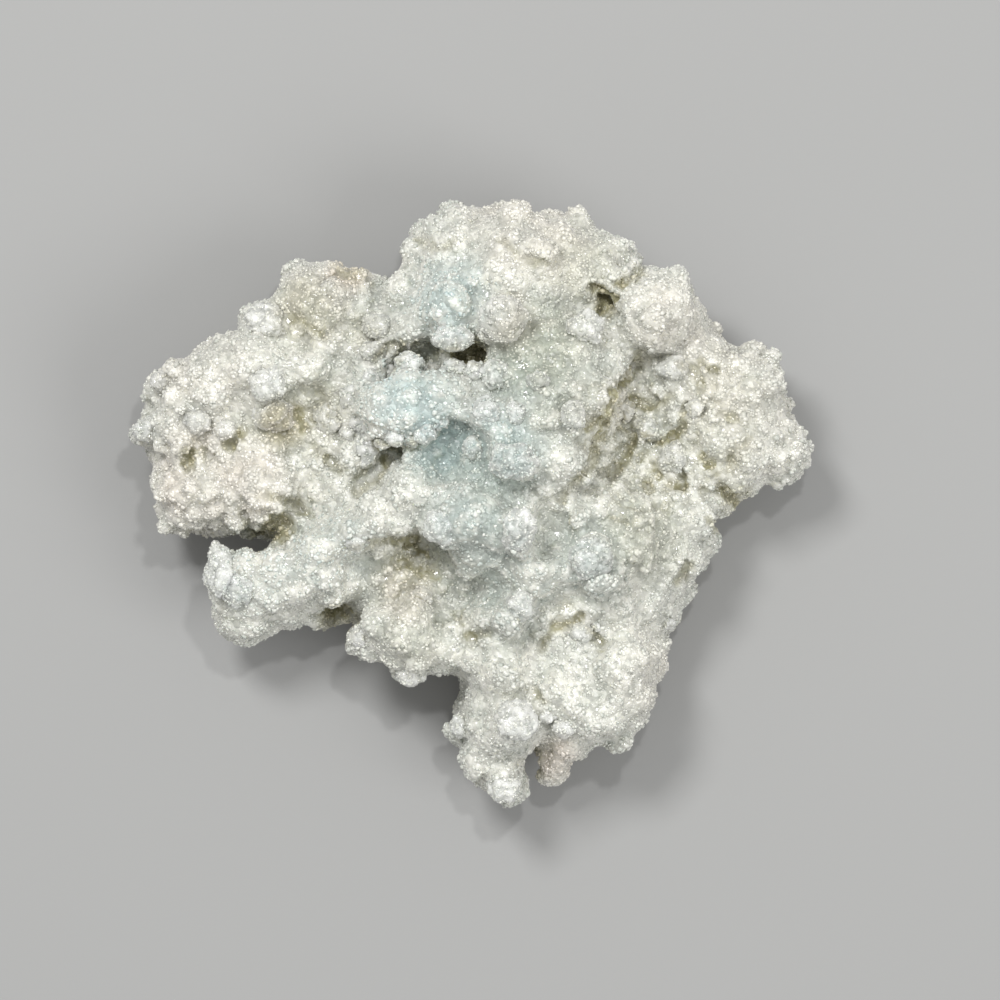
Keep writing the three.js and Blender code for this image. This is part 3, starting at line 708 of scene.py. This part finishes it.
def stainAndShadeOf(points, normals, shut, crease, bulge, drift, depth):
    stain = patches(points, tones["stainAndShade"])
    vein = 1 - np.abs(noiseAt(points, mixing["veinMm"], mixing["veinShift"]))
    low, more = mixing["shutShadeAndStain"]
    # painted shade wherever the sky is shut off, with more of it where a stain is
    stainAndShade = ramp(shut, *tones["creviceShut"]) * (low + more * stain)
    stainAndShade += stain * ramp(crease + mixing["shutShare"] * shut, *mixing["stainShut"])
    stainAndShade += mixing["veinDirt"] * stain * ramp(vein, *mixing["veinFrom"])
    stainAndShade += mixing["pitDirt"] * stain * ramp(-bulge, *mixing["pitMm"])
    # patches darkened all over, partly stain and partly painted shade, and stain with painted shade on
    # crevice floors
    stainAndShade += patches(points, tones["shadeAndStainAllOver"]) + mixing["crackStainAndShade"] * depth
    below = 1 - ramp(points[:, 2] + mixing["backDrift"] * drift, *tones["backMm"])
    stainAndShade += tones["backStain"] * below * ramp(-normals[:, 2], *mixing["backFacing"])
    return stainAndShade


def frostAndPaintedLightOf(normals, shut, crease, bulge, drift, lip, clear):
    # painted shade: less frost where the sky is shut off and in creases
    openness = 1 - mixing["shutFrostShade"] * ramp(shut, *mixing["shutFrom"])
    openness -= mixing["creaseFrostShade"] * ramp(crease, *mixing["creaseFrom"])
    slope = ramp(1 - normals[:, 2], *mixing["slopeFrom"]) * ramp(normals[:, 2], *mixing["slopeFacing"])
    # painted highlights on proud rims, steep sides and crevice lips
    edges = mixing["bulgeHighlight"] * ramp(bulge, *tones["rimBulgeMm"])
    edges += mixing["slopeHighlight"] * slope * openness + mixing["lipHighlight"] * lip
    low, more = mixing["frostDrift"]
    body = (1 - mixing["clearBody"] * clear) * openness * (low + more * drift)
    return body + (1 - mixing["clearEdges"] * clear) * edges


def toneOf(points, normals, shut, crease, bulge):
    # blue tint, stain with painted shade, warmth, and frost with painted highlights and painted shade, of
    # each point, 0 to 1
    tone = np.zeros((len(points), 4))
    depth, lip = cracksAt(points)
    drift = noiseAt(points, mixing["driftMm"])
    coarse, fine = mixing["mottleMm"]
    mottle = noiseAt(points, coarse) + mixing["fineShare"] * noiseAt(points, fine)
    clear = patches(points, tones["clear"])
    low, more = mixing["aquaDrift"]
    tone[:, 0] = patches(points, tones["aqua"]) * (low + more * drift)
    tone[:, 0] *= ramp(points[:, 2], *mixing["aquaHeights"])
    tone[:, 1] = stainAndShadeOf(points, normals, shut, crease, bulge, drift, depth)
    # painted shade, mottled, in shut places and creases
    patchyShade = ramp(-mottle, *mixing["mottleFrom"]) * ramp(crease + shut, *mixing["mottleShut"])
    tone[:, 1] += mixing["mottledShade"] * patchyShade * (1 - clear)
    low, more = mixing["warmDrift"]
    tone[:, 2] = patches(points, tones["warm"]) * (low + more * drift)
    tone[:, 3] = frostAndPaintedLightOf(normals, shut, crease, bulge, drift, lip, clear)
    tone[:, 3] *= 1 + mixing["mottleFrost"] * mottle * (1 - mixing["clearMottle"] * clear)
    return np.clip(tone, 0, 1)


crustPoints = pointsOf(crustMesh) / mm
crustNormals = normalsOf(crustMesh)
crustTree = BVHTree.FromPolygons([Vector(p) for p in crustPoints], cornersOf(crustMesh).tolist())
crustShut, crustCrease = shutShares(crustTree, crustPoints, crustNormals)
report("crevices found")
crustBulge = bulgeOf(crustMesh, crustPoints, crustNormals)
crustTone = toneOf(crustPoints, crustNormals, crustShut, crustCrease, crustBulge)
storeTone(crustMesh, crustTone)
crustPiece = newPiece("aragonite_crust", crustMesh, crustMaterial)
crustPiece.data.shade_smooth()
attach(crustPiece, "root")
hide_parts("aragonite_cluster")
report("crust toned")


# the clear knobs: the round and scalloped growths that stand out one by one
knobs = {
    "seed": 21,
    "scallops": [(1.4, 0.42), (0.7, 0.2)],  # cell across and height, mm
    "scallopsIn": 0.3,           # how far the knob is drawn in before they are added
    "waviness": 0.34,
    "waves": 1.3,
    "upright": 0.5,              # how much a knob leans back to the vertical
    "taller": 1.35,
    "sink": 0.58,                # how deep a knob sits, as a share of its thickness
    "aboveMm": 60,               # height from which its place on the crust is looked for
    # x, y, width, length, turn of the length from +Y in degrees, thickness over width
    "places": [
        (2.0, 12.9, 3.7, 3.7, 0, 0.7), (13.9, 11.9, 3.5, 3.7, 0, 0.8), (0.1, 7.7, 2.8, 3.3, 20, 0.7),
        (5.5, 5.6, 6.2, 5.0, 0, 0.6), (6.0, 12.3, 2.6, 3.2, 0, 0.6), (-2.9, 22.8, 5.6, 3.6, 0, 0.6),
        (4.5, 25.2, 7.0, 6.6, 0, 0.55), (15.7, 24.2, 4.6, 4.6, 0, 0.6), (9.2, 16.8, 3.0, 2.6, 0, 0.7),
        (3.1, 17.9, 4.6, 3.8, 0, 0.6), (-8.5, 19.3, 4.2, 3.0, 0, 0.7), (-2.2, 18.2, 4.0, 3.0, 0, 0.7),
        (-11.8, 18.2, 2.6, 2.4, 0, 0.8), (-6.2, 9.6, 3.0, 2.8, 30, 0.7), (-10.6, 9.0, 2.8, 2.6, 0, 0.7),
        (-15.6, 11.0, 2.8, 3.0, 0, 0.7), (21.4, 18.2, 2.6, 3.2, 40, 0.5), (21.4, 12.8, 3.0, 3.4, 30, 0.6),
        (-34.9, -9.4, 4.2, 7.8, 0, 0.8), (-4.6, -3.4, 4.2, 4.6, 10, 0.6), (-15.6, -18.6, 3.4, 3.6, 30, 0.8),
        (-8.6, -23.6, 4.2, 3.6, 0, 0.8), (-6.9, -13.1, 2.8, 2.8, 0, 0.8), (-15.8, -5.4, 3.2, 2.8, 0, 0.6),
        (6.4, -3.9, 4.4, 6.6, -8, 0.6), (16.3, -7.6, 5.4, 5.2, 0, 0.5), (6.6, -14.3, 3.8, 3.8, 0, 0.7),
        (15.0, -18.0, 3.0, 3.0, 0, 0.7), (6.2, -30.1, 5.6, 5.4, 0, 0.5), (10.6, -29.7, 2.2, 2.0, 0, 0.8),
        (12.7, -31.4, 2.6, 2.6, 0, 0.7), (-1.9, -31.1, 2.4, 3.4, 0, 0.8), (4.6, -40.0, 4.2, 3.8, 0, 0.7),
        (17.4, -17.1, 1.3, 1.3, 0, 1.0), (-19.3, 29.4, 4.4, 4.0, 30, 0.45), (-28.8, 25.6, 5.0, 4.6, 0, 0.6),
        (-13.4, 24.6, 3.8, 3.8, 0, 0.8), (-13.9, 21.2, 4.0, 3.2, 0, 0.7), (-28.4, 16.6, 4.2, 4.8, -20, 0.5),
        (-27.4, 12.4, 5.6, 5.0, 0, 0.6), (-20.0, 12.0, 4.6, 4.6, 0, 0.7), (-14.8, 7.0, 4.4, 4.0, 0, 0.6),
        (-14.0, 17.4, 2.4, 2.4, 0, 0.8), (-5.4, 18.6, 2.8, 2.4, 0, 0.8), (0.4, 18.2, 2.6, 2.4, 0, 0.8),
        (-17.0, 14.8, 2.6, 3.0, 0, 0.7), (-17.2, 9.6, 2.4, 2.2, 0, 0.8), (-14.0, 8.6, 2.2, 2.2, 0, 0.8),
        (-12.4, 8.4, 1.8, 1.8, 0, 0.8), (-8.4, 8.6, 2.0, 2.2, 0, 0.8), (-4.4, 11.0, 2.2, 2.4, 40, 0.8),
        (-32.4, -12.2, 4.4, 4.8, 0, 0.8),
        (-45.4, 10.2, 4.0, 3.2, 0, 0.9), (-43.3, 16.9, 3.0, 2.6, 0, 0.8), (-38.0, 11.2, 3.8, 3.2, 0, 0.7),
        (-34.4, 10.2, 3.0, 2.8, 0, 0.7), (27.4, 19.1, 4.4, 3.6, 0, 0.6), (31.0, 13.1, 2.6, 3.0, 0, 0.7),
        (24.6, 10.4, 4.6, 3.6, 0, 0.5), (27.8, 6.3, 3.6, 4.0, 0, 0.6), (27.2, -16.9, 1.8, 2.0, 0, 0.9),
    ],
    "rimHighlight": 0.7,             # painted highlight: how white a knob's edge is
    "rimFrom": (0.25, 0.7),      # 1 - height of the normal over which it sets in
    "rimClean": 0.8,             # share of the stain and painted shade that is missing there
    "splits": (3, 4),            # ball splits for a small and for a big knob
    "bigMm": 4.3,
}


def growKnobs():
    # each knob is a closed lump laid on the crust where a line from above meets it
    draws = np.random.default_rng(knobs["seed"])
    made, triangles, used = [], [], 0
    for x, y, width, length, turn, thick in knobs["places"]:
        hit, out, _, _ = crustTree.ray_cast(Vector((x, y, knobs["aboveMm"])), Vector((0, 0, -1)))
        if hit is None:
            continue
        ball, faces = ballShape(knobs["splits"][max(width, length) > knobs["bigMm"]])
        up = (Vector(out) + Vector((0, 0, knobs["upright"]))).normalized()
        across = Vector((math.cos(math.radians(turn)), math.sin(math.radians(turn)), 0))
        across = (across - up * across.dot(up)).normalized()
        axes = np.array([across, up.cross(across), up])
        shift = draws.uniform(-50, 50, 3)
        swell = np.array([noise.noise(Vector(p * knobs["waves"] + shift)) for p in ball])
        half = np.array([width, length, width * thick * knobs["taller"]]) / 2
        local = ball * (1 + knobs["waviness"] * swell)[:, None] * half
        local += ball * (rippleHeights(local + shift, knobs["scallops"]) - knobs["scallopsIn"])[:, None]
        middle = np.array(hit) + np.array(up) * (1 - 2 * knobs["sink"]) * half[2]
        made.append(local @ axes + middle)
        triangles.append(faces + used)
        used += len(ball)
    return meshFromArrays("clear_knobs", np.concatenate(made) * mm, np.concatenate(triangles))


knobMesh = growKnobs()
knobPoints = pointsOf(knobMesh) / mm
knobNormals = normalsOf(knobMesh)
knobShut, knobCrease = shutShares(crustTree, knobPoints, knobNormals)
knobBulge = bulgeOf(knobMesh, knobPoints, knobNormals)
knobTone = toneOf(knobPoints, knobNormals, knobShut, knobCrease, knobBulge)
# painted highlight on each knob's steep edge, with less stain and painted shade there
knobRim = ramp(1 - knobNormals[:, 2], *knobs["rimFrom"])
knobTone[:, 3] += knobs["rimHighlight"] * knobRim
knobTone[:, 1] *= 1 - knobs["rimClean"] * knobRim
storeTone(knobMesh, knobTone)
knobPiece = newPiece("clear_knobs", knobMesh, knobMaterial)
knobPiece.data.shade_smooth()
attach(knobPiece, "root")
report(f"{len(knobs['places'])} clear knobs, {len(knobMesh.polygons)} triangles")


# the sugary coat: small closed crystals scattered over the crust and the knobs
coat = {
    "seed": 5,
    "sizeMm": (0.14, 0.4),       # half width of a grain, smallest and largest
    "sizes": (1.5, 2.4),         # beta spread between them
    "narrow": (0.65, 1.0),       # width one way over width the other way
    "tall": (0.45, 0.85),        # height over half width
    "tilt": 0.55,
    "perMm2": 2.4,               # on the show face
    "heights": (0.4, 2.5),       # heights and slopes over which they set in
    "facing": (-0.55, 0.1),
    "knobFacing": (-0.5, 0.1),
    "underside": 0.1,            # share of that on the back
    "onKnobs": 1.0,              # share of that on the clear knobs
    "inClear": 0.7,              # share of that where the crust is clear
    "rimSwell": 0.6,             # how much bigger grains are on rims
    "bareCracks": 0.85,          # share of the grains that is missing in the crevices
    "sink": 0.15,
    "shadedFootFrost": 0.1,            # painted shade: share of the frost kept at a grain's foot; and the painted highlight added at its tip
    "tipHighlight": 0.35,
    "frostSpread": 0.3,          # how much frost and blue differ from grain to grain
    "blueSpread": (0.7, 1.2),
    "lowestMm": 0.02,
    "pieces": 4,
    "shapes": 12,
    "ragged": 0.25,              # how unevenly its corners are turned and raised
    "girth": (0.85, 1.15),
    "foot": -0.8,                # heights of foot, shoulder and tip, for a half width of 1
    "shoulder": 0.35,
    "tip": 0.95,
    "tipOff": 0.3,
    "shoulderGirth": 0.95,
    # painted light level at the shoulder, between the shaded foot at 0 and the tip at 1
    "shoulderLightLevel": 0.6,
}


def grainShapes(count, draws):
    # stubby crystals with four or five sides, a shoulder and a low point, each one closed
    shapes = []
    for k in range(count):
        sides = 4 + k % 2
        ragged, off = coat["ragged"], coat["tipOff"]
        around = (np.arange(sides) + draws.uniform(-ragged, ragged, sides)) * 2 * math.pi / sides
        wide = draws.uniform(*coat["girth"], sides)
        foot = np.stack([np.cos(around) * wide, np.sin(around) * wide, np.full(sides, coat["foot"])], 1)
        shoulder = foot * coat["shoulderGirth"]
        shoulder[:, 2] = coat["shoulder"] + draws.uniform(-ragged, ragged, sides)
        tip = np.array([[draws.uniform(-off, off), draws.uniform(-off, off), coat["tip"]]])
        triangles = []
        for i in range(sides):
            j = (i + 1) % sides
            triangles += [(i, j, sides + j), (i, sides + j, sides + i), (sides + i, sides + j, 2 * sides)]
        triangles += [(0, i + 1, i) for i in range(1, sides - 1)]
        # painted light on each corner: shaded foot 0, shoulder part way, tip 1
        paintedLightLevel = np.concatenate([np.zeros(sides), np.full(sides, coat["shoulderLightLevel"]), [1.0]])
        shapes.append((np.concatenate([foot, shoulder, tip]), np.array(triangles), paintedLightLevel))
    return shapes


def grainPlaces(draws):
    # places, directions and tones of the grains on the crust, then of those on the knobs
    full = coat["perMm2"]

    def onCrust(middle, facing):
        thin = 1 - (1 - coat["inClear"]) * patches(middle, tones["clear"])
        back = coat["underside"] + (1 - coat["underside"]) * ramp(facing, *coat["facing"])
        return full * ramp(middle[:, 2], *coat["heights"]) * back * thin

    def onKnobs(middle, facing):
        return coat["onKnobs"] * full * ramp(facing, *coat["knobFacing"])

    place, out, near, share = placesOn(
        crustPoints, crustNormals, cornersOf(crustMesh), None, onCrust, draws)
    rim = ramp((crustBulge[near] * share[:, :, 0]).sum(1), *tones["rimBulgeMm"])
    tone = (crustTone[near] * share).sum(1)
    kept = draws.random(len(place)) > coat["bareCracks"] * cracksAt(place)[0]
    place, out, rim, tone = place[kept], out[kept], rim[kept], tone[kept]
    more, way, near, share = placesOn(
        knobPoints, knobNormals, cornersOf(knobMesh), None, onKnobs, draws)
    free = []
    for start, ahead in zip(more, way):  # leave out those inside the crust
        hit, normal, _, _ = crustTree.ray_cast(Vector(start), Vector(ahead))
        free.append(hit is None or normal.dot(Vector(ahead)) < 0)
    free = np.array(free)
    knobShares = (knobTone[near] * share).sum(1)
    return (
        np.concatenate([place, more[free]]), np.concatenate([out, way[free]]),
        np.concatenate([tone, knobShares[free]]), np.concatenate([rim, np.zeros(free.sum())]))


def coatCrystals():
    draws = np.random.default_rng(coat["seed"])
    shapes = grainShapes(coat["shapes"], draws)
    place, out, tone, rim = grainPlaces(draws)
    count = len(place)
    axes = out + coat["tilt"] * draws.normal(size=out.shape)
    axes /= np.linalg.norm(axes, axis=1, keepdims=True)
    turned = framesFor(axes, draws)
    low, high = coat["sizeMm"]
    half = (low + (high - low) * draws.beta(*coat["sizes"], count)) * (1 + coat["rimSwell"] * rim)
    tall = half * draws.uniform(*coat["tall"], count)
    scale = np.stack([half, half * draws.uniform(*coat["narrow"], count), tall], 1)
    tone[:, 3] = np.clip(tone[:, 3] + draws.normal(0, coat["frostSpread"], count), 0, 1)
    tone[:, 0] = np.clip(tone[:, 0] * draws.uniform(*coat["blueSpread"], count), 0, 1)
    kind = draws.integers(0, len(shapes), count)
    order = np.argsort(place[:, 0])  # pieces run from the nose to the wing
    for part, members in enumerate(np.array_split(order, coat["pieces"])):
        points, triangles, tints = [], [], []
        used = 0
        for k, (shape, faces, paintedLightLevel) in enumerate(shapes):
            mine = members[kind[members] == k]
            local = shape[None] * scale[mine][:, None]
            world = np.einsum("nij,nvj->nvi", turned[mine], local)
            world += (place[mine] - axes[mine] * (coat["sink"] * half[mine])[:, None])[:, None]
            points.append(world.reshape(-1, 3))
            first = used + np.arange(len(mine)) * len(shape)
            triangles.append((faces[None] + first[:, None, None]).reshape(-1, 3))
            tint = np.repeat(tone[mine][:, None], len(shape), axis=1)
            # painted shade at each grain's foot and painted highlight at its tip
            tint[:, :, 3] *= coat["shadedFootFrost"] + (1 - coat["shadedFootFrost"]) * paintedLightLevel
            tint[:, :, 3] += coat["tipHighlight"] * (paintedLightLevel == 1)
            tints.append(tint.reshape(-1, 4))
            used += len(mine) * len(shape)
        points = np.concatenate(points)
        points[:, 2] = np.maximum(points[:, 2], coat["lowestMm"])
        mesh = meshFromArrays(f"sugar_grains_{part + 1}", points * mm, np.concatenate(triangles))
        storeTone(mesh, np.concatenate(tints))
        piece = newPiece(f"sugar_grains_{part + 1}", mesh, crystalMaterial)
        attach(piece, "root")
        report(f"{piece.name}: {len(members)} crystals, {len(mesh.polygons)} triangles")


coatCrystals()


# stage, lights and camera
studio = {
    "floorColor": (0.3, 0.3, 0.295, 1),
    "floorRoughness": 0.9,
    "floorAcross": 3,            # metres
    "lights": [                  # name, place and size in metres, watts; each aims at the specimen
        ("topLeft", (-0.25, 0.35, 0.75), 0.2, 5.0),
        ("right", (0.5, -0.25, 0.6), 0.4, 2.6),
        ("sparkle", (0.1, 0.25, 0.8), 0.04, 1.6),
    ],
    "airColor": (1, 1, 1, 1),
    "airStrength": 0.55,
    "photoCentreMm": (3.85, 0.42),
    "acrossMm": 140,             # width of the picture at the height of the outline
    "outlineHeightMm": 12,
    "cameraAway": 1.0,           # metres
    "clipStart": 0.01,
    "sensorMm": 36,
}


def plainFloor():
    bpy.ops.mesh.primitive_plane_add(size=studio["floorAcross"], location=(0, 0, 0))
    floor = bpy.context.object
    floor.name = "floor"
    material = bpy.data.materials.new("palePaper")
    material.use_nodes = True
    shader = material.node_tree.nodes["Principled BSDF"]
    shader.inputs["Base Color"].default_value = studio["floorColor"]
    shader.inputs["Roughness"].default_value = studio["floorRoughness"]
    floor.data.materials.append(material)


def softLight(name, place, size, watts):
    light = bpy.data.lights.new(name, "AREA")
    light.size = size
    light.energy = watts
    lamp = bpy.data.objects.new(name, light)
    lamp.location = place
    lamp.rotation_euler = (-Vector(place)).to_track_quat("-Z", "Y").to_euler()
    bpy.context.scene.collection.objects.link(lamp)


def studioAir():
    air = bpy.data.worlds.new("studioAir")
    bpy.context.scene.world = air
    air.use_nodes = True
    air.node_tree.nodes["Background"].inputs["Color"].default_value = studio["airColor"]
    air.node_tree.nodes["Background"].inputs["Strength"].default_value = studio["airStrength"]


def photoCamera():
    camera = bpy.data.cameras.new("photoCamera")
    camera.sensor_width = studio["sensorMm"]
    camera.lens = studio["sensorMm"] * studio["cameraAway"] / (studio["acrossMm"] * mm)
    camera.clip_start = studio["clipStart"]
    eye = bpy.data.objects.new("photoCamera", camera)
    x, y = studio["photoCentreMm"]
    eye.location = (x * mm, y * mm, studio["cameraAway"] + studio["outlineHeightMm"] * mm)
    eye.rotation_euler = (0, 0, 0)  # straight down, +Y up in the picture
    bpy.context.scene.collection.objects.link(eye)
    bpy.context.scene.camera = eye


plainFloor()
for name, place, size, watts in studio["lights"]:
    softLight(name, place, size, watts)
studioAir()
bpy.context.scene.view_settings.view_transform = "Standard"
photoCamera()
report("stage set")
